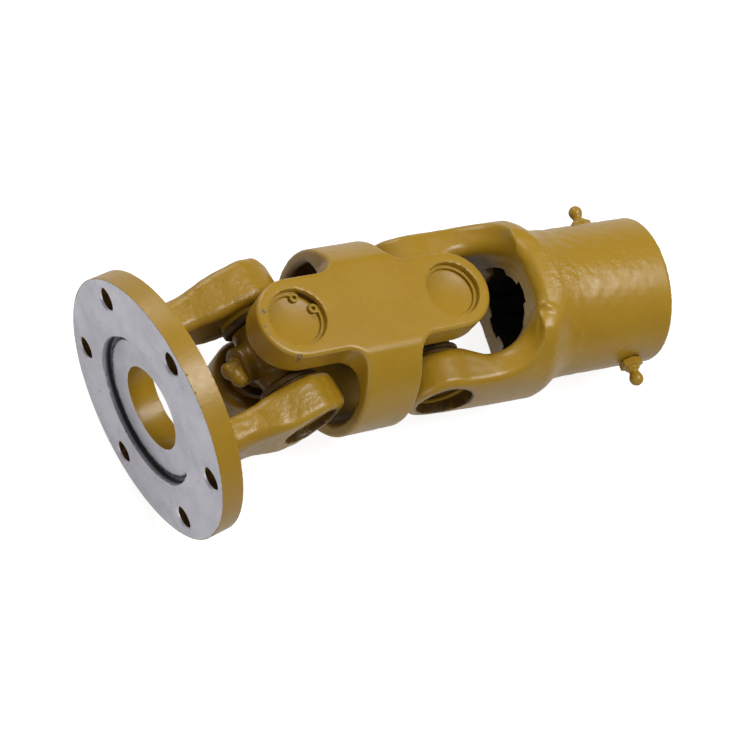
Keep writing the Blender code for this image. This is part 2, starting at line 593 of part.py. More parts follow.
# ---------------------------------------------------------------- crosses
def add_cross(name, frame, nipple_side):
    """Four journals on a rounded body, with a nipple boss and grease drillings."""
    shoulder_mesh = cylinder_mesh(name, SHOULDER_DIAMETER, 2 * shoulder_end, ROUND)
    cross = add_object(name, shoulder_mesh, parts, frame, bare_steel)
    ball = bpy.data.meshes.new(name + "_body")
    shape = bmesh.new()
    bmesh.ops.create_uvsphere(shape, u_segments=12, v_segments=8, radius=CROSS_BODY_DIAMETER / 2)
    shape.to_mesh(ball)
    shape.free()
    ball_tool = add_object("join_body_" + name, ball, cutters, frame, None, (0, 0, 0), (0.1, 0.2, 0))
    boolean(cross, ball_tool, "UNION")
    across = (math.pi / 2, 0, 0)
    journal_mesh = cylinder_mesh(name + "_journal", JOURNAL_DIAMETER, 2 * journal_end, ROUND)
    drilling_mesh = cylinder_mesh(name + "_drilling", GREASE_DRILLING, 3 * journal_end, SMALL_ROUND)
    shoulder_tool = add_object("join_shoulder_" + name, shoulder_mesh.copy(), cutters, frame, None, (0, 0, 0), across)
    boolean(cross, shoulder_tool, "UNION")
    for number, turn in enumerate(((0, 0, 0), across)):
        journal = add_object("join_journal_" + name + str(number), journal_mesh, cutters, frame, None, (0, 0, 0), turn)
        boolean(cross, journal, "UNION")
    boss_mesh = cylinder_mesh(name + "_boss", CROSS_BOSS_DIAMETER, CROSS_NIPPLE_SEAT, 16)
    boss_at = (nipple_side * CROSS_NIPPLE_SEAT / 2, 0, 0)
    boss = add_object("join_boss_" + name, boss_mesh, cutters, frame, None, boss_at, ALONG_X)
    boolean(cross, boss, "UNION")
    for number, turn in enumerate(((0, 0, 0), across)):
        drilling = add_object("cut_drilling_" + name + str(number), drilling_mesh, cutters, frame, None, (0, 0, 0), turn)
        cut(cross, drilling)
    hole_depth = NIPPLE_THREAD_LENGTH + 2 * FIT_GAP
    thread_mesh = cylinder_mesh(name + "_thread", NIPPLE_THREAD + 2 * FIT_GAP, 2 * hole_depth, SMALL_ROUND)
    seat_at = (nipple_side * CROSS_NIPPLE_SEAT, 0, 0)
    thread = add_object("cut_thread_" + name, thread_mesh, cutters, frame, None, seat_at, ALONG_X)
    cut(cross, thread)
    feed_mesh = cylinder_mesh(name + "_feed", GREASE_DRILLING, CROSS_NIPPLE_SEAT, SMALL_ROUND)
    feed = add_object("cut_feed_" + name, feed_mesh, cutters, frame, None, boss_at, ALONG_X)
    cut(cross, feed)
    shade_round(cross)
    return cross


add_cross("front_cross", front_cross_frame, -1)
add_cross("rear_cross", rear_cross_frame, 1)


# ---------------------------------------------------------------- bearings in their yokes
for side, end_name in ((-1, "front"), (1, "rear")):
    add_bearing(end_name + "_near", stand, (side * half_spacing, 0, 0), "-Y")
    add_bearing(end_name + "_far", stand, (side * half_spacing, 0, 0), "+Y")
for frame, end_name in ((flange_frame, "flange"), (sleeve_frame, "sleeve")):
    add_bearing(end_name + "_top", frame, (0, 0, 0), "+Z")
    add_bearing(end_name + "_bottom", frame, (0, 0, 0), "-Z")


# ---------------------------------------------------------------- grease nipples
def add_nipple(name, frame, seat, turn, elbow):
    """Threaded shank, hexagon, neck and ball head; an elbow turns the head sideways."""
    hex_top = FIT_GAP + NIPPLE_HEX_HEIGHT
    hex_mesh = cylinder_mesh(name, NIPPLE_HEX / math.cos(math.pi / 6), NIPPLE_HEX_HEIGHT, 6)
    lift = (FIT_GAP + NIPPLE_HEX_HEIGHT / 2)
    hex_mesh.transform(Matrix.Translation((0, 0, lift)))
    nipple = add_object(name, hex_mesh, parts, frame, bare_steel, seat, turn)
    shank_mesh = cylinder_mesh(name + "_shank", NIPPLE_THREAD, NIPPLE_THREAD_LENGTH + lift, SMALL_ROUND)
    shank_mesh.transform(Matrix.Translation((0, 0, (lift - NIPPLE_THREAD_LENGTH) / 2)))
    head_start = Vector((0, 0, hex_top))
    head_out = Vector((0, 0, 1))
    meshes = [shank_mesh]
    if elbow:
        riser = cylinder_mesh(name + "_riser", NIPPLE_NECK + 1 * MM, ELBOW_HEIGHT + lift, SMALL_ROUND)
        riser.transform(Matrix.Translation((0, 0, lift + (ELBOW_HEIGHT + lift) / 2)))
        meshes.append(riser)
        head_start = Vector((0, 0, hex_top + ELBOW_HEIGHT - NIPPLE_NECK / 2))
        head_out = Vector((1, 0, 0))
    neck_length = NIPPLE_NECK_LENGTH + NIPPLE_BALL / 2 + lift
    neck_turn = head_out.to_track_quat("Z", "Y").to_matrix().to_4x4()
    neck_mesh = cylinder_mesh(name + "_neck", NIPPLE_NECK, 2 * neck_length if not elbow else neck_length + lift,
                              SMALL_ROUND)
    neck_middle = 0.0 if not elbow else (neck_length + lift) / 2
    neck_mesh.transform(Matrix.Translation(head_start + head_out * neck_middle) @ neck_turn)
    meshes.append(neck_mesh)
    ball_distance = NIPPLE_NECK_LENGTH + NIPPLE_BALL / 2 + (lift if elbow else 0)
    ball = bpy.data.meshes.new(name + "_ball")
    shape = bmesh.new()
    bmesh.ops.create_uvsphere(shape, u_segments=10, v_segments=6, radius=NIPPLE_BALL / 2)
    shape.to_mesh(ball)
    shape.free()
    ball.transform(Matrix.Translation(head_start + head_out * ball_distance) @ neck_turn)
    meshes.append(ball)
    for number, mesh in enumerate(meshes):
        tool = add_object("join_" + name + "_" + str(number), mesh, cutters, frame, None, seat, turn)
        boolean(nipple, tool, "UNION")
    shade_round(nipple)
    return nipple


add_nipple("sleeve_nipple_top", sleeve_frame, (NIPPLE_STATION, 0, sleeve_radius), POINTS_OUT["+Z"], False)
add_nipple("sleeve_nipple_bottom", sleeve_frame, (NIPPLE_STATION, 0, -sleeve_radius), POINTS_OUT["-Z"], False)


def elbow_turn(side, head_turn):
    """Base along +X or -X, head turned from -Z towards -Y by head_turn."""
    out = Vector((side, 0, 0))
    head = Vector((0, -math.sin(head_turn), -math.cos(head_turn)))
    return Matrix((head, out.cross(head), out)).transposed().to_euler()


add_nipple("front_cross_nipple", front_cross_frame, (-CROSS_NIPPLE_SEAT, 0, 0),
           elbow_turn(-1, FRONT_NIPPLE_TURN), True)
add_nipple("rear_cross_nipple", rear_cross_frame, (CROSS_NIPPLE_SEAT, 0, 0),
           elbow_turn(1, REAR_NIPPLE_TURN), True)


# ---------------------------------------------------------------- lay it on the ground
def lowest_on_circle(centre, axis, radius, up):
    """The point of a circle that lies lowest along up."""
    down_in_plane = -(up - up.dot(axis) * axis)
    return centre + down_in_plane.normalized() * radius


def resting_up():
    """Up direction when the flange rim, the sleeve's end and the collar's corner touch."""
    bpy.context.view_layer.update()
    flange_place = flange_frame.matrix_world
    sleeve_place = sleeve_frame.matrix_world
    flange_axis = flange_place.to_3x3() @ Vector((1, 0, 0))
    sleeve_axis = sleeve_place.to_3x3() @ Vector((1, 0, 0))
    rim = flange_place @ Vector((flange_back - FLANGE_EDGE, 0, 0))
    end = sleeve_place @ Vector((SLEEVE_END_DISTANCE - SLEEVE_EDGE, 0, 0))
    corner_height = math.sqrt(COLLAR_RADIUS ** 2 - COLLAR_HALF_WIDTH ** 2)
    corner = sleeve_place @ Vector((SHOULDER_START, COLLAR_HALF_WIDTH, corner_height))

    def misfit(roll, pitch):
        level = math.cos(pitch)
        up = Vector((math.sin(pitch), -math.sin(roll) * level, math.cos(roll) * level))
        low_rim = lowest_on_circle(rim, flange_axis, FLANGE_DIAMETER / 2, up).dot(up)
        low_end = lowest_on_circle(end, sleeve_axis, sleeve_radius, up).dot(up)
        return Vector((low_rim - low_end, corner.dot(up) - low_end)), up

    roll = LYING_ROLL_GUESS
    pitch = 0.0
    nudge = 0.0001
    for _ in range(20):
        here, up = misfit(roll, pitch)
        by_roll = (misfit(roll + nudge, pitch)[0] - here) / nudge
        by_pitch = (misfit(roll, pitch + nudge)[0] - here) / nudge
        step = Matrix((by_roll, by_pitch)).transposed().inverted() @ here
        roll -= step.x
        pitch -= step.y
    return up


up = resting_up()
along = Vector((1, 0, 0))
along = (along - along.dot(up) * up).normalized()
stand.matrix_world = Matrix((along, up.cross(along), up)).to_4x4()
bpy.context.view_layer.update()

corners_low = Vector((math.inf, math.inf, math.inf))
corners_high = -corners_low
graph = bpy.context.evaluated_depsgraph_get()
for obj in parts.objects:
    evaluated = obj.evaluated_get(graph)
    for vertex in evaluated.data.vertices:
        place = evaluated.matrix_world @ vertex.co
        corners_low = Vector(map(min, corners_low, place))
        corners_high = Vector(map(max, corners_high, place))
stand.location = ((-corners_low.x - corners_high.x) / 2, (-corners_low.y - corners_high.y) / 2, -corners_low.z)
bpy.context.view_layer.update()
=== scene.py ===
import json
import math

import bpy
import numpy as np
from mathutils import Matrix, Vector


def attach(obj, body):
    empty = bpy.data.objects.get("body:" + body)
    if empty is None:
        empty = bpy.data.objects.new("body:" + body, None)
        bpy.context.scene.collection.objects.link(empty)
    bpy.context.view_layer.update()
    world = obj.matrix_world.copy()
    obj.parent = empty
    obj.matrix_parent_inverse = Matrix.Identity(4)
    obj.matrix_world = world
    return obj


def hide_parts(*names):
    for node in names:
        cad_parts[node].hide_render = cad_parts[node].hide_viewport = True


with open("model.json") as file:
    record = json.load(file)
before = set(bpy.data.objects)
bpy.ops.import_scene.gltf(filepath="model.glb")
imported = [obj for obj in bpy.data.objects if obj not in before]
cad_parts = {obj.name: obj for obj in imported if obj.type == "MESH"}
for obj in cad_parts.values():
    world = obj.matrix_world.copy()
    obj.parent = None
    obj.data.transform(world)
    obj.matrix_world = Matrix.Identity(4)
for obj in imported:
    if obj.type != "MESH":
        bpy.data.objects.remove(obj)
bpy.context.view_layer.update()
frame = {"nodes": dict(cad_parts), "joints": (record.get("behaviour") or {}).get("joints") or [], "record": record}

# ---------------------------------------------------------------- where the yokes lie
# The double joint lies on its side: a flange yoke, a centre yoke and a sleeve yoke, joined by two crosses.
# Each yoke has its own directions: X along the shaft towards the sleeve, Y down through the centre
# yoke's plates, Z across. They come from the joints' axes and from the two mounting faces.
MM = 0.001


def unit(vector):
    """The same direction at length one."""
    return np.asarray(vector, float) / np.linalg.norm(vector)


def placed(origin, x, y):
    """A place as (origin in metres, rows of X, Y and Z), with Z square to X and Y."""
    return np.asarray(origin, float), np.array([x, y, unit(np.cross(x, y))])


def to_world(points, place):
    """Points in a yoke's own millimetres, moved to where the yoke lies, in metres."""
    return place[0] + MM * points @ place[1]


joints = {joint["name"]: joint for joint in frame["joints"]}
mounts = {mount["name"]: mount for mount in frame["record"]["mounts"]}
front_at = np.array(joints["front_cross_swing"]["pos_m"])
rear_at = np.array(joints["rear_cross_swing"]["pos_m"])
plate_axis = unit(joints["front_cross_swing"]["axis"])
flange_pin = unit(joints["flange_yoke_swing"]["axis"])
sleeve_pin = unit(joints["sleeve_yoke_swing"]["axis"])
flange_x = -unit(mounts["flange_face"]["axis"])
sleeve_x = unit(mounts["sleeve_end"]["axis"])

CENTRE = placed((front_at + rear_at) / 2, unit(rear_at - front_at), plate_axis)
FLANGE = placed(front_at, flange_x, unit(np.cross(flange_pin, flange_x)))
SLEEVE = placed(rear_at, sleeve_x, unit(np.cross(sleeve_pin, sleeve_x)))
FRONT_CROSS = placed(front_at, unit(np.cross(plate_axis, flange_pin)), plate_axis)
REAR_CROSS = placed(rear_at, unit(np.cross(plate_axis, sleeve_pin)), plate_axis)

# ---------------------------------------------------------------- centre yoke
# One steel forging: two flat plates with a bearing ear at each end, tied by a ring round the middle.
# The plates are ground flat before painting, and the rest keeps the soft edges of the forging die.
HALF_SPACING = float(np.linalg.norm(rear_at - front_at)) / MM / 2
EAR_RADIUS = 15.4
EAR_FACE = 30.7
EAR_INNER = 16.5
BORE_RADIUS = 11.0
RING_RADIUS = 35.5
RING_WALL = 5.5
RING_HALF_LENGTH = 11.75
WEB_FILLET = 7.0
WINDOW_FILLET = 5.0
PLATE_EDGE = 1.3
WINDOW_EDGE = 2.8
BORE_EDGE = 0.5
MACHINED_EDGE = 0.1
CENTRE_GRAIN = 0.03


def joined(a, b, fillet):
    """Two solids as one, with a fillet of that radius where they meet."""
    corner = np.hypot(np.maximum(fillet - a, 0), np.maximum(fillet - b, 0))
    return np.maximum(fillet, np.minimum(a, b)) - corner


def common(a, b, edge):
    """What two solids share, with an edge of that radius."""
    corner = np.hypot(np.maximum(edge + a, 0), np.maximum(edge + b, 0))
    return np.minimum(-edge, np.maximum(a, b)) + corner


def cut(a, b, edge):
    """The first solid with the second taken away, and its new edge rounded."""
    return common(a, -b, edge)


def slope(distance, points, step=0.01):
    """Unit direction in which the distance grows, by differences along X, Y and Z."""
    grown = []
    for axis in range(3):
        shift = np.zeros(3)
        shift[axis] = step
        grown.append(distance(*(points + shift).T) - distance(*(points - shift).T))
    grown = np.array(grown).T
    return grown / np.maximum(np.linalg.norm(grown, axis=1, keepdims=True), 1e-9)


def solid_surface(distance, low, high, cell):
    """Surface where distance(x, y, z) is zero, as points and four-sided faces.

    Space is cut into cubes. Each cube that the surface passes through gets one point, where the
    tangent planes at its crossed edges meet, and each crossed edge joins the four cubes round it.
    """
    low = np.asarray(low, float)
    ticks = [np.arange(a, b + cell, cell) for a, b in zip(low, high)]
    value = distance(ticks[0][:, None, None], ticks[1][None, :, None], ticks[2][None, None, :])
    crossings, normals, rings = [], [], []
    for axis in range(3):
        near = tuple(slice(0, -1) if k == axis else slice(None) for k in range(3))
        far = tuple(slice(1, None) if k == axis else slice(None) for k in range(3))
        crossed = (value[near] < 0) != (value[far] < 0)
        index = np.argwhere(crossed)
        start, end = value[near][crossed], value[far][crossed]
        point = low + index * cell
        point[:, axis] += start / (start - end) * cell
        ring = []
        for across, up in ((-1, -1), (0, -1), (0, 0), (-1, 0)):
            cube = index.copy()
            cube[:, (axis + 1) % 3] += across
            cube[:, (axis + 2) % 3] += up
            ring.append(np.ravel_multi_index(cube.T, value.shape))
        ring = np.array(ring).T
        crossings.append(point)
        normals.append(slope(distance, point))
        rings.append(np.where((start < 0)[:, None], ring, ring[:, ::-1]))
    crossings, normals, rings = map(np.concatenate, (crossings, normals, rings))
    cubes, corner = np.unique(rings, return_inverse=True)
    corner = corner.ravel()

    def gathered(weights):
        return np.bincount(corner, np.repeat(weights, 4), len(cubes))

    count = np.bincount(corner)
    middle = np.array([gathered(crossings[:, k]) for k in range(3)]).T / count[:, None]
    reach = np.einsum("nk,nk->n", normals, crossings)
    planes = np.array([[gathered(normals[:, a] * normals[:, b]) for b in range(3)] for a in range(3)])
    planes = planes.transpose(2, 0, 1)
    wanted = np.array([gathered(normals[:, a] * reach) for a in range(3)]).T
    wanted -= np.einsum("nab,nb->na", planes, middle)
    held = planes + 0.04 * count[:, None, None] * np.eye(3)
    moved = middle + np.linalg.solve(held, wanted[:, :, None])[:, :, 0]
    corner_of_cube = low + np.array(np.unravel_index(cubes, value.shape)).T * cell
    return np.clip(moved, corner_of_cube, corner_of_cube + cell), corner.reshape(-1, 4)


def add_mesh(name, points, faces, sharp=40.0, **values):
    """A mesh object at the origin from world points and faces, with a value for each point by name."""
    faces = np.asarray(faces)
    mesh = bpy.data.meshes.new(name)
    mesh.vertices.add(len(points))
    mesh.vertices.foreach_set("co", np.asarray(points, np.float32).ravel())
    mesh.loops.add(faces.size)
    mesh.loops.foreach_set("vertex_index", faces.ravel().astype(np.int32))
    mesh.polygons.add(len(faces))
    mesh.polygons.foreach_set("loop_start", np.arange(0, faces.size, faces.shape[1], dtype=np.int32))
    mesh.update(calc_edges=True)
    mesh.validate()
    for key, value in values.items():
        mesh.attributes.new(key, "FLOAT", "POINT").data.foreach_set("value", value.astype(np.float32))
    mesh.shade_smooth()
    mesh.set_sharp_from_angle(angle=math.radians(sharp))
    piece = bpy.data.objects.new(name, mesh)
    bpy.context.scene.collection.objects.link(piece)
    return piece


def add_solid(name, distance, low, high, cell, place, look=3.0, **spots):
    """A solid as a mesh where its yoke lies: its object, then its faces' middles and directions.

    Each point also gets "hollow", from 0 in the open to 1 in a tight corner, and "edge", from 0 on a
    flat face to 1 on a sharp edge. spots are further values, each a function of x, y and z.
    """
    points, faces = solid_surface(distance, low, high, cell)
    out = slope(distance, points)
    hollow = np.clip(1 - distance(*(points + look * out).T) / look, 0, 1)
    edge = np.clip(1 + distance(*(points - look / 2 * out).T) / (look / 2), 0, 1)
    values = {key: spot(*points.T) for key, spot in spots.items()}
    piece = add_mesh(name, to_world(points, place), faces, hollow=hollow, edge=edge, **values)
    around = points[faces]
    facing = np.cross(around[:, 2] - around[:, 0], around[:, 3] - around[:, 1])
    facing /= np.maximum(np.linalg.norm(facing, axis=1, keepdims=True), 1e-9)
    return piece, (around.mean(axis=1), facing)


def flowing(x, stations, heights):
    """Heights at stations along X, joined by S-shaped curves that are level at each station."""
    stations, heights = np.asarray(stations, float), np.asarray(heights, float)
    step = np.clip(np.searchsorted(stations, x, "right") - 1, 0, len(stations) - 2)
    part = np.clip((x - stations[step]) / (stations[step + 1] - stations[step]), 0, 1)
    return heights[step] + (heights[step + 1] - heights[step]) * part * part * (3 - 2 * part)


GRAIN_WAVES = 18
GRAIN_LENGTHS = (3.2, 7.5)
draw = np.random.default_rng(11)
grain_turns = draw.normal(size=(GRAIN_WAVES, 3))
grain_rates = math.tau / draw.uniform(*GRAIN_LENGTHS, GRAIN_WAVES)
grain_turns *= (grain_rates / np.linalg.norm(grain_turns, axis=1))[:, None]
grain_starts = draw.uniform(0, math.tau, GRAIN_WAVES)


def forged_grain(x, y, z):
    """Unevenness of a forged skin, about -1 to 1: slanted waves of 3 to 7 mm added up."""
    total = 0
    for (a, b, c), start in zip(grain_turns, grain_starts):
        total = total + np.sin(a * x + b * y + c * z + start)
    return total / math.sqrt(GRAIN_WAVES)


def skin_only(depth):
    """How much grain there is at a depth: none at 0 or less, and all of it from 2 mm on."""
    return np.clip(depth / 2, 0, 1)


def centre_forging(x, y, z):
    """Distance to the centre yoke: plates and ring shaped from the side, then the window and bores."""
    along = abs(x)
    ears = np.hypot(along - HALF_SPACING, z) - EAR_RADIUS
    strip = common(along - HALF_SPACING, abs(z) - EAR_RADIUS - 0.1, 0.1)
    web = common(along - RING_HALF_LENGTH, abs(z) - 60, 0.1)
    side = joined(np.minimum(ears, strip), web, WEB_FILLET)
    round_body = common(abs(y) - EAR_FACE, np.hypot(y, z) - RING_RADIUS, 0.8)
    body = common(side, round_body, PLATE_EDGE)
    window = common(abs(y) - EAR_INNER, np.hypot(y, z) - RING_RADIUS + RING_WALL, WINDOW_FILLET)
    body = cut(body, window, WINDOW_EDGE)
    body = body - CENTRE_GRAIN * skin_only(EAR_FACE - 1.5 - abs(y)) * forged_grain(x, y, z)
    bores = np.hypot(along - HALF_SPACING, z) - BORE_RADIUS
    return cut(body, bores, BORE_EDGE)


def ring_groove_shadow(reach, radius):
    """How deep in the snap ring's groove a point of an ear's bore lies, from 0 to 1, for a dark band of painted
    shadow that stands in for the groove.
    """
    return (radius < BORE_RADIUS + 0.9) * np.clip(1.5 - abs(reach - 27.6), 0, 1)


CHIPS = ((-44.8, 4.2, 0.9), (-47.0, -1.6, 0.7), (-46.2, -4.2, 0.7), (-37.5, -14.4, 0.8))


def chipped_spots(x, y, z):
    """Where the paint is knocked off: three spots on the near front ear and one under its bore."""
    worn = 0
    for at_x, at_z, size in CHIPS:
        worn = worn + np.exp(-((x - at_x) ** 2 + (z - at_z) ** 2) / size ** 2)
    return np.where(y < -26, np.minimum(worn, 1), 0)


def thin_in_window(x, y, z):
    """Painted shade: on the walls of the window, between the plates."""
    return np.clip((18 - abs(y)) / 3, 0, 1) * np.clip((32 - np.hypot(y, z)) / 2, 0, 1)


centre_yoke, _ = add_solid(
    "forged_centre_yoke", centre_forging, (-50, -33, -38), (50, 33, 38), 0.75, CENTRE,
    worn=chipped_spots, thin=thin_in_window,
    groove=lambda x, y, z: ring_groove_shadow(abs(y), np.hypot(abs(x) - HALF_SPACING, z)))
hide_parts("centre_yoke")
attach(centre_yoke, "centre")

# The whole joint is sprayed after it is put together, in one coat of semi-gloss ochre enamel over
# primer: orange peel on the flats, brown painted shade in the hollows and between the parts,
# painted highlights along the edges, and specks knocked off on the edges.
ENAMEL = (0.372, 0.208, 0.009, 1)
ENAMEL_PALE = (0.402, 0.236, 0.016, 1)
# Dark brown used for painted shade.
ENAMEL_SHADE = (0.060, 0.026, 0.005, 1)
# Lighter ochre used for painted highlights along edges.
ENAMEL_EDGE_HIGHLIGHT = (0.470, 0.330, 0.100, 1)
BARE_SPOT = (0.110, 0.105, 0.105, 1)
PEEL_DEPTH = 0.035 * MM
CASTING_DEPTH = 0.9 * MM
CHIP_DEPTH = 0.12 * MM


class Nodes:
    """A material's node tree, with short calls for the nodes used here."""

    def __init__(self, name):
        self.material = bpy.data.materials.new(name)
        self.material.use_nodes = True
        self.tree = self.material.node_tree
        self.shader = self.tree.nodes["Principled BSDF"]
        self.place = self.tree.nodes.new("ShaderNodeTexCoord").outputs["Object"]

    def link(self, source, socket):
        """Feeds a socket from another node, or sets it to a plain value."""
        if isinstance(source, bpy.types.NodeSocket):
            self.tree.links.new(source, socket)
        else:
            socket.default_value = source

    def noise(self, per_metre, detail=3.0, roughness=0.55):
        """Cloudy pattern with about that many blobs to the metre."""
        node = self.tree.nodes.new("ShaderNodeTexNoise")
        node.inputs["Scale"].default_value = per_metre
        node.inputs["Detail"].default_value = detail
        node.inputs["Roughness"].default_value = roughness
        self.tree.links.new(self.place, node.inputs["Vector"])
        return node.outputs["Fac"]

    def value(self, name):
        """A value stored on the mesh's points."""
        node = self.tree.nodes.new("ShaderNodeAttribute")
        node.attribute_name = name
        return node.outputs["Fac"]

    def math(self, operation, a, b=0.0):
        """One operation on two values."""
        node = self.tree.nodes.new("ShaderNodeMath")
        node.operation = operation
        self.link(a, node.inputs[0])
        self.link(b, node.inputs[1])
        return node.outputs[0]

    def ranged(self, source, low, high, to_low=0.0, to_high=1.0):
        """A value stretched from one range to another, and held there."""
        node = self.tree.nodes.new("ShaderNodeMapRange")
        self.link(source, node.inputs["Value"])
        for key, number in (("From Min", low), ("From Max", high), ("To Min", to_low), ("To Max", to_high)):
            node.inputs[key].default_value = number
        return node.outputs[0]

    def mix(self, amount, a, b):
        """From one colour to another by an amount."""
        node = self.tree.nodes.new("ShaderNodeMix")
        node.data_type = "RGBA"
        self.link(amount, node.inputs["Factor"])
        self.link(a, node.inputs[6])
        self.link(b, node.inputs[7])
        return node.outputs[2]

    def bump(self, height, depth, under=None):
        """Relief of that depth in metres, over an earlier one if given."""
        node = self.tree.nodes.new("ShaderNodeBump")
        node.inputs["Distance"].default_value = depth
        self.link(height, node.inputs["Height"])
        if under is not None:
            self.link(under, node.inputs["Normal"])
        return node.outputs[0]

    def finish(self, colour, roughness, normal=None):
        """Feeds the shader and returns the material."""
        self.link(colour, self.shader.inputs["Base Color"])
        self.link(roughness, self.shader.inputs["Roughness"])
        if normal is not None:
            self.link(normal, self.shader.inputs["Normal"])
        return self.material


def make_enamel(name, casting=0.0, dirt=0.0):
    """Sprayed enamel. casting is how far scale shows through, and the last argument how far the whole enamel is
    darkened as painted shade, from 0 to 1.
    """
    n = Nodes(name)
    cloud = n.ranged(n.noise(38, 4), 0.35, 0.7)
    fine = n.noise(420, 4, 0.6)
    colour = n.mix(cloud, ENAMEL, ENAMEL_PALE)
    # Painted shade: the enamel turns dark brown in hollows and tight corners, broken up by fine noise.
    hollow_shade = n.ranged(n.value("hollow"), 0.18, 0.85)
    hollow_shade = n.math("MULTIPLY", hollow_shade, n.ranged(fine, 0.2, 0.65, 0.55, 1.0))
    # Painted shadow: a dark band where the snap ring's groove lies in each ear's bore.
    hollow_shade = n.math("MAXIMUM", hollow_shade, n.value("groove"))
    # Painted shade: darker between the plates and the arms, inside the throat, in the lower ears' bores and in the
    # bolt holes.
    thin = n.math("MULTIPLY", n.value("thin"), n.ranged(fine, 0.25, 0.6, 0.75, 1.0))
    # Painted shade: all the darkening above, and an even darkening by the amount given to the material.
    dark = n.math("MAXIMUM", hollow_shade, n.math("MAXIMUM", thin, dirt))
    colour = n.mix(dark, colour, ENAMEL_SHADE)
    # Painted highlight: lighter along sharp edges, broken up by noise.
    edge_highlight = n.ranged(n.value("edge"), 0.45, 0.9)
    edge_highlight = n.math("MULTIPLY", edge_highlight, n.ranged(n.noise(160, 3), 0.4, 0.65, 0.0, 0.6))
    colour = n.mix(edge_highlight, colour, ENAMEL_EDGE_HIGHLIGHT)
    speck = n.math("MULTIPLY", n.value("worn"), n.ranged(n.noise(900, 2), 0.45, 0.6, 0.35, 1.6))
    bare = n.ranged(speck, 0.42, 0.5)
    colour = n.mix(bare, colour, BARE_SPOT)
    scale = n.math("ADD", n.value("rough"), casting)
    pitted = n.math("MULTIPLY", n.noise(430, 3, 0.6), scale)
    relief = n.bump(n.noise(620, 2, 0.5), PEEL_DEPTH)
    relief = n.bump(pitted, CASTING_DEPTH, relief)
    relief = n.bump(n.math("MULTIPLY", bare, -1.0), CHIP_DEPTH, relief)
    n.shader.inputs["Specular IOR Level"].default_value = 0.5
    return n.finish(colour, n.ranged(fine, 0.3, 0.7, 0.28, 0.40), relief)


enamel = make_enamel("ochre_enamel", 0.05)
centre_yoke.data.materials.append(enamel)

# ---------------------------------------------------------------- flange yoke
# A steel forging with a turned flange: six bolt holes, a register recessed into its face, and two arms
# that swell into bearing ears. Its mounting face was masked from the spray and shows bare turned steel.
FACE_AT = -52.6
FLANGE_BACK = -44.3
FLANGE_RADIUS = 50.0
FLANGE_BORE = 16.0
REGISTER_RADIUS = 28.5
REGISTER_DEPTH = 2.6
BOLT_CIRCLE = 42.0
BOLT_RADIUS = 4.2
BOLT_COUNT = 6
BOLT_CHAMFER = 0.8
HUB_RADIUS = 24.0
HUB_BACK = -39.2
HUB_FILLET = 3.0
RELIEF_WIDTH = 2.0
RELIEF_DEPTH = 0.7
FLANGE_GRAIN = 0.06
# Stations along the shaft, then what is given at each: the arms' outsides, insides, half widths and edges.
FLANGE_ARM_UPPER = (-44, -26, -8.5, 8, 16), (31.4, 31.2, 32.8, 33.2, 30.0)
FLANGE_ARM_LOWER = (-44, -26, -8.5, 9, 20), (30.0, 29.6, 31.8, 31.3, 28.8)
FLANGE_ARM_INNER = (-22, -13), (17.3, EAR_INNER)
FLANGE_ARM_WAIST = (-44, -26, -12), (12.5, 11.5, 14.0)
FLANGE_ARM_EDGE = (-30, -12), (5.2, 3.0)
FLANGE_ARM_INNER_EDGE = 3.5
FLANGE_ARM_FOOT = 5.5
FLANGE_EAR_FILLET = 4.0


def folded(y, z, count):
    """Radius and bearing round the shaft, the bearing taken from the nearest of count equal turns."""
    turn = math.tau / count
    bearing = np.arctan2(z, y)
    return np.hypot(y, z), bearing - np.round(bearing / turn) * turn


def from_bolt(y, z):
    """Distance from the axis of the nearest bolt hole."""
    rim, bearing = folded(y, z, BOLT_COUNT)
    return np.hypot(rim * np.cos(bearing) - BOLT_CIRCLE, rim * np.sin(bearing))


def between(value, low, high):
    """Distance to what lies between two planes."""
    return abs(value - (low + high) / 2) - (high - low) / 2


def bearing_bores(x, y, z):
    """Distance to the two bearing bores of an end yoke, which stop short of the shaft's axis."""
    return np.maximum(np.hypot(x, y) - BORE_RADIUS, 14 - abs(z))


def in_lower_bore(x, y, z):
    """1 in the bore of the lower ear of an end yoke, and 0 elsewhere."""
    return (z < -EAR_INNER) * (np.hypot(x, y) < BORE_RADIUS + 0.6)


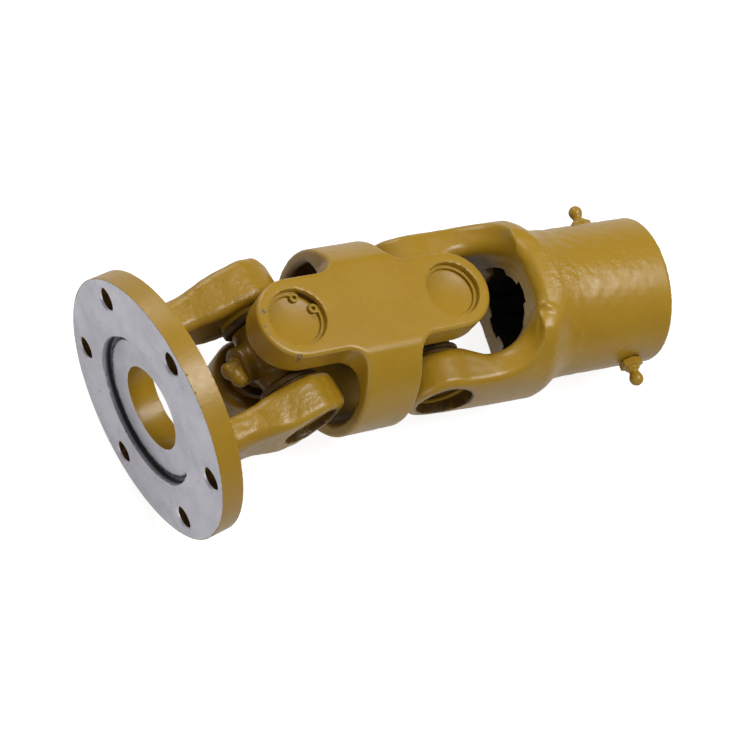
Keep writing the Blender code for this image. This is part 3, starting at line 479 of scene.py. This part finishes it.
def flange_forging(x, y, z):
    """Distance to the flange yoke: turned disc and hub, two arms that step up to their ears, the holes."""
    rim = np.hypot(y, z)
    height = abs(z)
    radius = np.hypot(x, y)
    depth = x - FACE_AT
    disc = common(rim - FLANGE_RADIUS, between(x, FACE_AT, FLANGE_BACK), MACHINED_EDGE)
    hub = common(rim - HUB_RADIUS, between(x, FACE_AT, HUB_BACK) + 0.5, 2.5)
    top = np.where(z > 0, flowing(x, *FLANGE_ARM_UPPER), flowing(x, *FLANGE_ARM_LOWER))
    arm = common(abs(y) - flowing(x, *FLANGE_ARM_WAIST), between(x, -50, 2), 0.5)
    plan = joined(radius - EAR_RADIUS, arm, FLANGE_EAR_FILLET)
    arms = common(plan, height - top, flowing(x, *FLANGE_ARM_EDGE))
    arms = common(arms, flowing(x, *FLANGE_ARM_INNER) - height, FLANGE_ARM_INNER_EDGE)
    arms = arms - FLANGE_GRAIN * forged_grain(x, y, z)
    body = joined(joined(disc, hub, HUB_FILLET), arms, FLANGE_ARM_FOOT)
    register = common(rim - REGISTER_RADIUS, abs(depth) - REGISTER_DEPTH, 0.4)
    relief = abs(rim - REGISTER_RADIUS + RELIEF_WIDTH / 2) - RELIEF_WIDTH / 2
    relief = common(relief, abs(depth) - REGISTER_DEPTH - RELIEF_DEPTH, 0.3)
    body = cut(cut(body, register, MACHINED_EDGE), relief, MACHINED_EDGE)
    body = cut(body, np.maximum(rim - FLANGE_BORE, x + 30), MACHINED_EDGE)
    hole = from_bolt(y, z) - BOLT_RADIUS - np.clip(BOLT_CHAMFER - depth, 0, BOLT_CHAMFER)
    body = cut(body, np.maximum(hole, x + 40), MACHINED_EDGE)
    return cut(body, bearing_bores(x, y, z), 0.8)


def thin_on_flange(x, y, z):
    """Painted shade: between the arms, in the lower ear's bore and in the bolt holes."""
    inside = np.clip((19.5 - abs(z)) / 3, 0, 1) * np.clip((11 - abs(y)) / 3, 0, 1) * (x > -36)
    in_hole = (from_bolt(y, z) < BOLT_RADIUS + 0.4) * (x < FLANGE_BACK - 0.5)
    return np.maximum(np.maximum(0.7 * inside, in_lower_bore(x, y, z)), in_hole)


def groove_shadow_across(x, y, z):
    """How deep in the snap ring's groove a point of an end yoke's ears lies, for the band of painted shadow."""
    return ring_groove_shadow(abs(z), np.hypot(x, y))


def forged_arms(x, y, z):
    """How far the forging's scale shows: on the arms, not on the turned disc."""
    return 0.30 * np.clip((x + 43) / 3, 0, 1)


flange_yoke, at = add_solid(
    "forged_flange_yoke", flange_forging, (-54, -51.5, -51.5), (17, 51.5, 51.5), 0.72, FLANGE,
    rough=forged_arms, thin=thin_on_flange, groove=groove_shadow_across)
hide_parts("flange_yoke")
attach(flange_yoke, "flange")

TURNED_STEEL = (0.78, 0.765, 0.82, 1)
TURNED_DULL = (0.60, 0.585, 0.65, 1)
TURNED_DARK = (0.06, 0.055, 0.06, 1)
CUT_PITCH = 0.9 * MM


def make_turned_face(place, face_at):
    """Steel faced on a lathe: faint rings about the shaft, painted shade in the register's corner."""
    n = Nodes("turned_steel_face")
    centre = place[0] + face_at * MM * place[1][0]
    onto_face = Matrix([place[1][1], place[1][2], place[1][0]])
    mapping = n.tree.nodes.new("ShaderNodeMapping")
    mapping.inputs["Rotation"].default_value = onto_face.to_euler()
    mapping.inputs["Location"].default_value = -(onto_face @ Vector(centre))
    n.tree.links.new(n.place, mapping.inputs["Vector"])
    rings = n.tree.nodes.new("ShaderNodeTexWave")
    rings.wave_type = "RINGS"
    rings.rings_direction = "Z"
    rings.inputs["Scale"].default_value = 0.314 / CUT_PITCH
    rings.inputs["Distortion"].default_value = 0.6
    n.tree.links.new(mapping.outputs[0], rings.inputs["Vector"])
    stain = n.ranged(n.noise(60, 5, 0.6), 0.35, 0.68)
    colour = n.mix(stain, TURNED_STEEL, TURNED_DULL)
    # Painted shade: darker where the face lies in a hollow, in the register's corner.
    colour = n.mix(n.ranged(n.value("hollow"), 0.25, 0.75), colour, TURNED_DARK)
    speck = n.ranged(n.noise(700, 2), 0.70, 0.76)
    colour = n.mix(speck, colour, TURNED_DARK)
    relief = n.bump(rings.outputs["Fac"], 0.006 * MM)
    relief = n.bump(n.noise(900, 3), 0.012 * MM, relief)
    n.shader.inputs["Metallic"].default_value = 0.75
    return n.finish(colour, n.ranged(n.noise(90, 4), 0.35, 0.7, 0.38, 0.52), relief)


flange_yoke.data.materials.append(enamel)
flange_yoke.data.materials.append(make_turned_face(FLANGE, FACE_AT))
middle, facing = at
from_axis = np.hypot(middle[:, 1], middle[:, 2])
on_face = (middle[:, 0] < FACE_AT + REGISTER_DEPTH + 1.2) & (from_axis < FLANGE_RADIUS - 0.3)
in_register = abs(from_axis - REGISTER_RADIUS + 1) < 1.6
turned_here = on_face & ((facing[:, 0] < -0.5) | in_register)
flange_yoke.data.polygons.foreach_set("material_index", turned_here.astype(np.int32))

# ---------------------------------------------------------------- sleeve yoke
# A steel fork forged in one piece with its splined sleeve. The throat is an open U, a short parting
# ridge and a pad stand beside it, and the scale of the forging shows through the paint on the sleeve.
SLEEVE_RADIUS = 29.25
SLEEVE_START = 40.8
SLEEVE_END = 95.2
COLLAR_HALF_WIDTH = 30.0
SLEEVE_ARM_HALF_WIDTH = 14.2
THROAT_BOTTOM = 38.0
THROAT_ROUND = 16.0
THROAT_EDGE = 4.6
FORK_GRAIN = 0.04
SCALE_GRAIN = 0.05
SPLINE_MAJOR = 17.45
SPLINE_MINOR = 14.9
SPLINE_SLOT = 4.35
SPLINE_COUNT = 6
SPLINE_CHAMFER = 1.5
NIPPLE_STATION = 82.2
NIPPLE_HOLE = 3.3
# Stations along the shaft, then the arms' outsides, the collar's cone, the ridge and the throat at each.
SLEEVE_ARM_TOP = (-6, 20, 43, 54), (32.5, 34.3, 35.2, 27.75)
COLLAR_CONE = (39, 54), (35.2, 28.05)
RIDGE_TOP = (34, 40, 54), (5.0, 3.6, 0.0)
THROAT_INNER = (7, 19), (EAR_INNER, 20.5)


def scaly_patch(x, y, z):
    """Where the forging's scale shows: beside the shoulder, fading along the near side of the sleeve."""
    beside = np.exp(-((x - 50.0) / 7.0) ** 2 - ((z - 9.0) / 13.0) ** 2)
    along = 0.55 * np.exp(-((z - 7.0) / 7.5) ** 2) * (x > 45)
    return np.where(y < 0, np.minimum(beside + along, 1), 0.1) * (x > 40)


def thin_on_sleeve(x, y, z):
    """Painted shade: inside the throat and in the lower ear's bore."""
    inside = np.clip((22.5 - abs(z)) / 3, 0, 1) * np.clip((15 - abs(y)) / 5, 0, 1)
    return np.maximum(0.75 * inside * (x < THROAT_BOTTOM + 2), in_lower_bore(x, y, z))


def sleeve_forging(x, y, z):
    """Distance to the sleeve yoke: fork inside a coned collar, the sleeve, then throat and spline."""
    around = np.hypot(y, z)
    radius = np.hypot(x, y)
    height = abs(z)
    widening = np.clip((x - 16.0) / 20.0, 0, 1)
    spread = 1 - np.sqrt(1 - widening ** 2)
    half_width = SLEEVE_ARM_HALF_WIDTH + (COLLAR_HALF_WIDTH - SLEEVE_ARM_HALF_WIDTH) * spread
    arm = common(abs(y) - half_width, -x, 0.5)
    plan = joined(radius - EAR_RADIUS, arm, 1.0)
    fork = common(plan, height - flowing(x, *SLEEVE_ARM_TOP), 3.0)
    fork = common(fork, around - flowing(x, *COLLAR_CONE), 2.0)
    fork = common(fork, abs(y) - COLLAR_HALF_WIDTH + 0.8, 2.0)
    fork = common(fork, x - 55, 1.5)
    tube = common(around - SLEEVE_RADIUS, between(x, SLEEVE_START, SLEEVE_END), 0.7)
    near = y + 12
    pad = common(between(z, -26, -14), between(x, 34, 47), 1.5)
    pad = common(pad, around - SLEEVE_RADIUS - 2.2, 0.8)
    ridge = abs(z + 13 + (x - 40) * 0.6) - 1.2
    ridge = common(ridge, around - SLEEVE_RADIUS - flowing(x, *RIDGE_TOP), 1.0)
    ridge = common(ridge, between(x, 35.5, 54.5), 0.5)
    pad, ridge = common(pad, near, 0.5), common(ridge, near, 0.5)
    body = joined(joined(joined(fork, tube, 3.0), pad, 1.2), ridge, 1.8)
    throat = common(x - THROAT_BOTTOM, height - flowing(x, *THROAT_INNER), THROAT_ROUND)
    body = cut(body, throat, THROAT_EDGE)
    grain = (FORK_GRAIN + SCALE_GRAIN * scaly_patch(x, y, z)) * np.clip((90 - x) / 4, 0, 1)
    body = body - grain * forged_grain(x, y, z)
    _, bearing = folded(y, z, SPLINE_COUNT)
    slot = common(abs(around * np.sin(bearing)) - SPLINE_SLOT, around - SPLINE_MAJOR, 0.4)
    bore = np.minimum(around - SPLINE_MINOR, slot)
    mouth = np.maximum(SLEEVE_END - SPLINE_CHAMFER - x, 0) - SPLINE_CHAMFER
    bore = np.minimum(bore, around - SPLINE_MAJOR + mouth)
    body = cut(body, np.maximum(bore, 20 - x), 0.4)
    body = cut(body, np.hypot(x - NIPPLE_STATION, y) - NIPPLE_HOLE, 0.3)
    return cut(body, bearing_bores(x, y, z), 0.5)


sleeve_yoke, at = add_solid(
    "forged_sleeve_yoke", sleeve_forging, (-17, -35, -35), (97, 35, 35), 0.75, SLEEVE,
    rough=scaly_patch, thin=thin_on_sleeve, groove=groove_shadow_across)
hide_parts("sleeve_yoke")
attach(sleeve_yoke, "sleeve")


def make_dark_bore():
    """The broached bore, unpainted and oily, its colour taken down to near black as painted shade."""
    n = Nodes("shaded_oily_bore")
    colour = n.mix(n.ranged(n.noise(150, 4), 0.35, 0.7), (0.016, 0.014, 0.013, 1), (0.045, 0.038, 0.032, 1))
    n.shader.inputs["Metallic"].default_value = 0.6
    return n.finish(colour, 0.5, n.bump(n.noise(500, 3), 0.03 * MM))


sleeve_yoke.data.materials.append(enamel)
sleeve_yoke.data.materials.append(make_dark_bore())
middle, facing = at
in_bore = np.hypot(middle[:, 1], middle[:, 2]) < SPLINE_MAJOR + 0.4
in_bore &= (middle[:, 0] > THROAT_BOTTOM - 2) & (middle[:, 0] < SLEEVE_END - 1) & (abs(facing[:, 0]) < 0.5)
sleeve_yoke.data.polygons.foreach_set("material_index", in_bore.astype(np.int32))

# ---------------------------------------------------------------- crosses
# Each cross is a small steel forging with four ground journals and, on one side, a boss for its grease
# nipple. Only the middle and the boss can be seen, and the spray reached them.
JOURNAL_RADIUS = 7.0
JOURNAL_END = 23.3
SHOULDER_RADIUS = 8.8
SHOULDER_REACH = 12.1
CROSS_BALL = 11.5
BOSS_END = 11.8
BOSS_FACE = 14.4
BOSS_HALF = 7.2
CROSS_EDGE = 0.6


def cross_forging(side):
    """Distance to a cross whose nipple boss points along X by side, 1 or -1."""

    def crossed_bars(x, y, z, radius, reach):
        return np.minimum(common(np.hypot(x, y) - radius, abs(z) - reach, CROSS_EDGE),
                          common(np.hypot(x, z) - radius, abs(y) - reach, CROSS_EDGE))

    def distance(x, y, z):
        ball = np.sqrt(x * x + y * y + z * z) - CROSS_BALL
        legs = crossed_bars(x, y, z, SHOULDER_RADIUS, SHOULDER_REACH)
        boss = common(np.hypot(y, z) - BOSS_HALF, between(x * side, 0, BOSS_FACE), 1.0)
        pins = crossed_bars(x, y, z, JOURNAL_RADIUS, JOURNAL_END)
        return np.minimum(joined(joined(ball, legs, 3.0), boss, 1.5), pins)

    return distance


# Painted shade: the crosses' enamel is darkened all over.
dirty_enamel = make_enamel("dirty_enamel", 0.15, 0.5)
for name, place, side in (("front_cross", FRONT_CROSS, -1), ("rear_cross", REAR_CROSS, 1)):
    cross, _ = add_solid(
        "forged_" + name, cross_forging(side), (-16, -25, -25), (16, 25, 25), 0.5, place, 2.0)
    cross.data.materials.append(dirty_enamel)
    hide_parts(name)
    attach(cross, name)

# ---------------------------------------------------------------- bearings
# Each journal turns in a drawn steel cup on needles, with a thrust washer at its end and a rubber seal
# at its mouth. A snap ring in the ear holds the cup. The spray covered cups, rings and seals alike.
CUP_RADIUS = 10.75
CUP_TOP = 26.9
CUP_MOUTH = 14.9
CUP_INSIDE = 9.0
CUP_FLOOR = 2.5
CUP_CORNER = 0.9
CUP_DISH = CUP_TOP - 0.22
SEAL_RADIUS = 11.2
SEAL_BOTTOM = 12.4
SEAL_TOP = 14.6
SEAL_HOLE = 7.4
SEAL_CORNER = 0.7
RING_BOTTOM = 27.1
RING_TOP = 28.3
RING_OUTER = 11.5
RING_INNER = 9.7
RING_GAP = math.radians(52)
RING_TURN = math.radians(47)
LUG_RADIUS = 1.8
LUG_AT = 8.9
LUG_HOLE = 0.75


def turned(profile, place, steps=72):
    """A closed profile of (radius, height) points turned about Z, as world points and faces.

    Each two neighbouring points, the last and the first among them, sweep one band of faces.
    """
    profile = np.asarray(profile, float)
    angle = np.arange(steps) * math.tau / steps
    radius, height = profile[:, 0][:, None], profile[:, 1][:, None] + 0 * angle
    points = np.stack([radius * np.cos(angle), radius * np.sin(angle), height], -1)
    row = np.arange(len(profile))[:, None] * steps
    here, there = row + np.arange(steps), row + (np.arange(steps) + 1) % steps
    after = np.roll(here, -1, 0), np.roll(there, -1, 0)
    faces = np.stack([here, there, after[1], after[0]], -1).reshape(-1, 4)
    return to_world(points.reshape(-1, 3), place), faces


def corner_arc(radius, height, round_off, start, turn):
    """Points of a quarter circle that rounds a corner of a profile, centred at (radius, height)."""
    angle = np.radians(start + turn * np.linspace(0, 1, 5))
    return [(radius + round_off * math.cos(a), height + round_off * math.sin(a)) for a in angle]


cup_profile = [(CUP_INSIDE, CUP_MOUTH), (CUP_RADIUS, CUP_MOUTH)]
cup_profile += corner_arc(CUP_RADIUS - CUP_CORNER, CUP_TOP - CUP_CORNER, CUP_CORNER, 0, 90)
cup_profile += [(9.0, CUP_TOP), (8.4, CUP_DISH), (0.01, CUP_DISH)]
cup_profile += [(0.01, CUP_TOP - CUP_FLOOR), (CUP_INSIDE, CUP_TOP - CUP_FLOOR)]
seal_profile = [(SEAL_HOLE, SEAL_BOTTOM + 0.5), (SEAL_HOLE + 0.8, SEAL_BOTTOM)]
seal_profile += [(SEAL_RADIUS - 1.0, SEAL_BOTTOM)]
seal_profile += corner_arc(SEAL_RADIUS - SEAL_CORNER, SEAL_BOTTOM + SEAL_CORNER, SEAL_CORNER, -90, 90)
seal_profile += [(SEAL_RADIUS, SEAL_TOP), (SEAL_HOLE, SEAL_TOP)]


def snap_ring(lugs):
    """Distance to a snap ring lying in XY, with or without lugs at its gap."""
    half_gap = RING_GAP / 2

    def distance(x, y, z):
        around = np.hypot(x, y)
        side = abs(np.arctan2(y, x))
        band = between(around, RING_INNER, RING_OUTER)
        layer = between(z, RING_BOTTOM, RING_TOP)
        if not lugs:
            return common(band, layer, 0.3)
        ring = np.maximum(band, (half_gap - side) * around)
        at_x, at_y = LUG_AT * math.cos(half_gap), LUG_AT * math.sin(half_gap)
        lug_middle = np.hypot(x - at_x, abs(y) - at_y)
        flat = joined(ring, lug_middle - LUG_RADIUS, 1.0)
        flat = np.maximum(flat, LUG_HOLE - lug_middle)
        return common(flat, layer, 0.25)

    return distance


def make_sprayed_rubber():
    """Black rubber under a broken, barely covering coat of the enamel."""
    n = Nodes("sprayed_rubber")
    cover = n.ranged(n.noise(260, 4), 0.38, 0.58, 0.35, 0.95)
    colour = n.mix(cover, (0.02, 0.018, 0.016, 1), (0.13, 0.07, 0.010, 1))
    return n.finish(colour, 0.55, n.bump(n.noise(700, 2), 0.05 * MM))


def make_steel():
    """Ground bearing steel with a film of grease."""
    n = Nodes("greased_bearing_steel")
    colour = n.mix(n.ranged(n.noise(180, 3), 0.35, 0.7), (0.32, 0.31, 0.30, 1), (0.52, 0.51, 0.50, 1))
    n.shader.inputs["Metallic"].default_value = 1.0
    return n.finish(colour, 0.32, n.bump(n.noise(1500, 2), 0.004 * MM))


sprayed_rubber = make_sprayed_rubber()
dark_enamel = make_enamel("shaded_enamel", 0.1, 0.85)
bearing_steel = make_steel()


def bearing_place(place, station, out):
    """Where a bearing lies: Z outwards along its journal, X along the shaft."""
    origin = place[0] + station * MM * place[1][0]
    return origin, np.array([place[1][0], np.cross(out, place[1][0]), out])


down, across = CENTRE[1][1], CENTRE[1][2]
BEARINGS = (
    ("front_near", "centre", CENTRE, -HALF_SPACING, -down),
    ("front_far", "centre", CENTRE, -HALF_SPACING, down),
    ("rear_near", "centre", CENTRE, HALF_SPACING, -down),
    ("rear_far", "centre", CENTRE, HALF_SPACING, down),
    ("flange_top", "flange", FLANGE, 0, flange_pin),
    ("flange_bottom", "flange", FLANGE, 0, -flange_pin),
    ("sleeve_top", "sleeve", SLEEVE, 0, sleeve_pin),
    ("sleeve_bottom", "sleeve", SLEEVE, 0, -sleeve_pin),
)
for label, body, place, station, out in BEARINGS:
    seat = bearing_place(place, station, out)
    cup = add_mesh("drawn_cup_" + label, *turned(cup_profile, seat))
    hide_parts("bearing_cup_" + label)
    seal = add_mesh("lip_seal_" + label, *turned(seal_profile, seat))
    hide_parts("seal_" + label)
    turn = Matrix.Rotation(RING_TURN, 3, "Z")
    ring_at = (seat[0], np.array(turn.transposed()) @ seat[1])
    ring, _ = add_solid("wire_snap_ring_" + label, snap_ring(label != "rear_near"), (-12.4, -12.4, 26.6),
                        (12.4, 12.4, 29.4), 0.22, ring_at, 0.6)
    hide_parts("snap_ring_" + label)
    cover = dark_enamel if "bottom" in label else enamel
    for piece, finish, slot in ((cup, cover, "bearing_steel"), (ring, enamel, "bearing_steel"),
                                (seal, sprayed_rubber, "seal_rubber")):
        piece.data.materials.append(finish)
        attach(piece, body)
    for prefix in ("needle_set_", "thrust_washer_"):
        node = frame["nodes"][prefix + label]
        node.data.materials.clear()
        node.data.materials.append(bearing_steel)

# ---------------------------------------------------------------- grease nipples
# Four screwed nipples of plated steel, painted over: straight ones on the sleeve, and elbows on the
# crosses, with a hexagon to tighten, a neck, and a ball end that the grease gun grips.
HEX_HALF = 4.0
HEX_TOP = 3.3
SHANK_RADIUS = 2.95
SHANK_REACH = 5.4
NECK_RADIUS = 1.9
BRANCH_RADIUS = 2.8
BALL_RADIUS = 2.8
STRAIGHT_BALL_AT = 8.3
ELBOW_AT = 4.7
ELBOW_REACH = 5.3
INLET_RADIUS = 0.6
INLET_BOTTOM = 1.6


def hexagon(x, y, half):
    """Distance to a hexagonal bar of that half width across flats."""
    tilted = y * math.sqrt(0.75)
    return np.maximum(abs(x), np.maximum(abs(x / 2 + tilted), abs(x / 2 - tilted))) - half


def nipple(elbow):
    """Distance to a nipple screwed in along Z, its elbow turned towards X."""

    def distance(x, y, z):
        around = np.hypot(x, y)
        base = common(hexagon(x, y, HEX_HALF), abs(z - HEX_TOP / 2 - 0.15) - HEX_TOP / 2 + 0.15, 0.35)
        shank = common(around - SHANK_RADIUS, abs(z + SHANK_REACH / 2 - 0.5) - SHANK_REACH / 2 - 0.5, 0.4)
        body = np.minimum(base, shank)
        if elbow:
            riser = common(around - 3.0, abs(z - 4.4) - 3.8, 1.4)
            branch = np.hypot(y, z - ELBOW_AT)
            neck = np.maximum(branch - BRANCH_RADIUS, between(x, 0, ELBOW_REACH))
            ball = np.sqrt((x - ELBOW_REACH) ** 2 + y * y + (z - ELBOW_AT) ** 2) - BALL_RADIUS
            inlet = np.maximum(branch - INLET_RADIUS, ELBOW_REACH + INLET_BOTTOM - x)
        else:
            riser = common(around - 3.0, abs(z - 3.4) - 1.2, 0.9)
            neck = np.maximum(around - NECK_RADIUS, between(z, 0, STRAIGHT_BALL_AT))
            ball = np.sqrt(x * x + y * y + (z - STRAIGHT_BALL_AT) ** 2) - BALL_RADIUS
            inlet = np.maximum(around - INLET_RADIUS, STRAIGHT_BALL_AT + INLET_BOTTOM - z)
        body = joined(body, riser, 0.6)
        body = joined(joined(body, neck, 0.8), ball, 0.8)
        return np.maximum(body, -inlet)

    return distance


def nipple_place(place, seat, out, head):
    """Where a nipple is screwed in: Z outwards, X the way its head points."""
    origin = place[0] + MM * np.asarray(seat, float) @ place[1]
    return origin, np.array([head, np.cross(out, head), out])


front_turn = math.radians(17)
rear_turn = math.radians(45)
NIPPLES = (
    ("sleeve_nipple_top", "sleeve", SLEEVE, (NIPPLE_STATION, 0, SLEEVE_RADIUS), (0, 0, 1), (1, 0, 0)),
    ("sleeve_nipple_bottom", "sleeve", SLEEVE, (NIPPLE_STATION, 0, -SLEEVE_RADIUS), (0, 0, -1), (1, 0, 0)),
    ("front_cross_nipple", "front_cross", FRONT_CROSS, (-BOSS_END, 0, 0), (-1, 0, 0),
     (0, -math.sin(front_turn), -math.cos(front_turn))),
    ("rear_cross_nipple", "rear_cross", REAR_CROSS, (BOSS_END, 0, 0), (1, 0, 0),
     (0, -math.sin(rear_turn), -math.cos(rear_turn))),
)
for name, body, place, seat, out, head in NIPPLES:
    screwed = nipple_place(place, seat, np.array(out) @ place[1], np.array(head) @ place[1])
    piece, _ = add_solid("screwed_" + name, nipple("cross" in name), (-5.5, -5.5, -6.5), (9, 5.5, 12),
                         0.24, screwed, 1.0)
    piece.data.materials.append(enamel)
    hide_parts(name)
    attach(piece, body)

# ---------------------------------------------------------------- studio
# A white table and walls, a soft lamp overhead, a second behind the joint and a weak one in front. The
# camera stands high on the flange's side, where the flange's face and the sleeve both show.
TABLE_SIZE = 8.0
TABLE_GREY = (0.42, 0.42, 0.42, 1)
TABLE_GLOW = 0.86
TABLE_GLOW_MIRRORED = 0.35
WALL_LIGHT = 0.20
WHITE = (1, 1, 1, 1)
CAMERA_AT = (-0.222073, -0.126498, 0.627543)
CAMERA_BACK = (-0.331515, -0.190653, 0.924538)
CAMERA_UP = (0.2297, 0.933534, 0.274468)
CAMERA_LENS = 82.0

corners = TABLE_SIZE / 2 * np.array([(-1, -1, 0), (1, -1, 0), (1, 1, 0), (-1, 1, 0)])
table = add_mesh("studio_table", corners, [(0, 1, 2, 3)])
n = Nodes("white_table")
n.shader.inputs["Base Color"].default_value = TABLE_GREY
n.shader.inputs["Roughness"].default_value = 0.9
glow = n.tree.nodes.new("ShaderNodeEmission")
glow.inputs["Color"].default_value = WHITE
path = n.tree.nodes.new("ShaderNodeLightPath")
seen = n.math("MULTIPLY", path.outputs["Is Camera Ray"], TABLE_GLOW)
mirrored = n.math("MULTIPLY", path.outputs["Is Glossy Ray"], TABLE_GLOW_MIRRORED)
n.link(n.math("ADD", seen, mirrored), glow.inputs["Strength"])
both = n.tree.nodes.new("ShaderNodeAddShader")
n.tree.links.new(n.shader.outputs[0], both.inputs[0])
n.tree.links.new(glow.outputs[0], both.inputs[1])
n.tree.links.new(both.outputs[0], n.tree.nodes["Material Output"].inputs["Surface"])
table.data.materials.append(n.material)

world = bpy.data.worlds.new("studio_walls")
bpy.context.scene.world = world
world.use_nodes = True
walls = world.node_tree
path = walls.nodes.new("ShaderNodeLightPath")
direct = walls.nodes.new("ShaderNodeMapRange")
direct.inputs["To Min"].default_value = WALL_LIGHT
direct.inputs["To Max"].default_value = 1.0
walls.links.new(path.outputs["Is Camera Ray"], direct.inputs["Value"])
walls.nodes["Background"].inputs["Color"].default_value = WHITE
walls.links.new(direct.outputs[0], walls.nodes["Background"].inputs["Strength"])


def add_lamp(name, at, aim, size, watts):
    """A square soft box at a place, aimed at a point."""
    lamp = bpy.data.lights.new(name, "AREA")
    lamp.shape = "SQUARE"
    lamp.size = size
    lamp.energy = watts
    holder = bpy.data.objects.new(name, lamp)
    holder.location = at
    holder.rotation_euler = (Vector(aim) - Vector(at)).to_track_quat("-Z", "Y").to_euler()
    bpy.context.scene.collection.objects.link(holder)


add_lamp("key_softbox", (0.36, 0.02, 0.92), (0.03, 0, 0.03), 0.42, 5.8)
add_lamp("back_softbox", (-0.10, 0.85, 0.50), (0, 0, 0.03), 0.50, 3.4)
add_lamp("front_softbox", (-0.60, -0.70, 0.45), (0, 0, 0.03), 0.60, 2.0)

camera = bpy.data.cameras.new("camera")
camera.sensor_width = 36.0
camera.lens = CAMERA_LENS
holder = bpy.data.objects.new("camera", camera)
back = Vector(CAMERA_BACK).normalized()
right = Vector(CAMERA_UP).cross(back).normalized()
turn = Matrix((right, back.cross(right), back)).transposed()
holder.matrix_world = Matrix.Translation(CAMERA_AT) @ turn.to_4x4()
bpy.context.scene.collection.objects.link(holder)
bpy.context.scene.camera = holder
bpy.context.scene.view_settings.view_transform = "Standard"
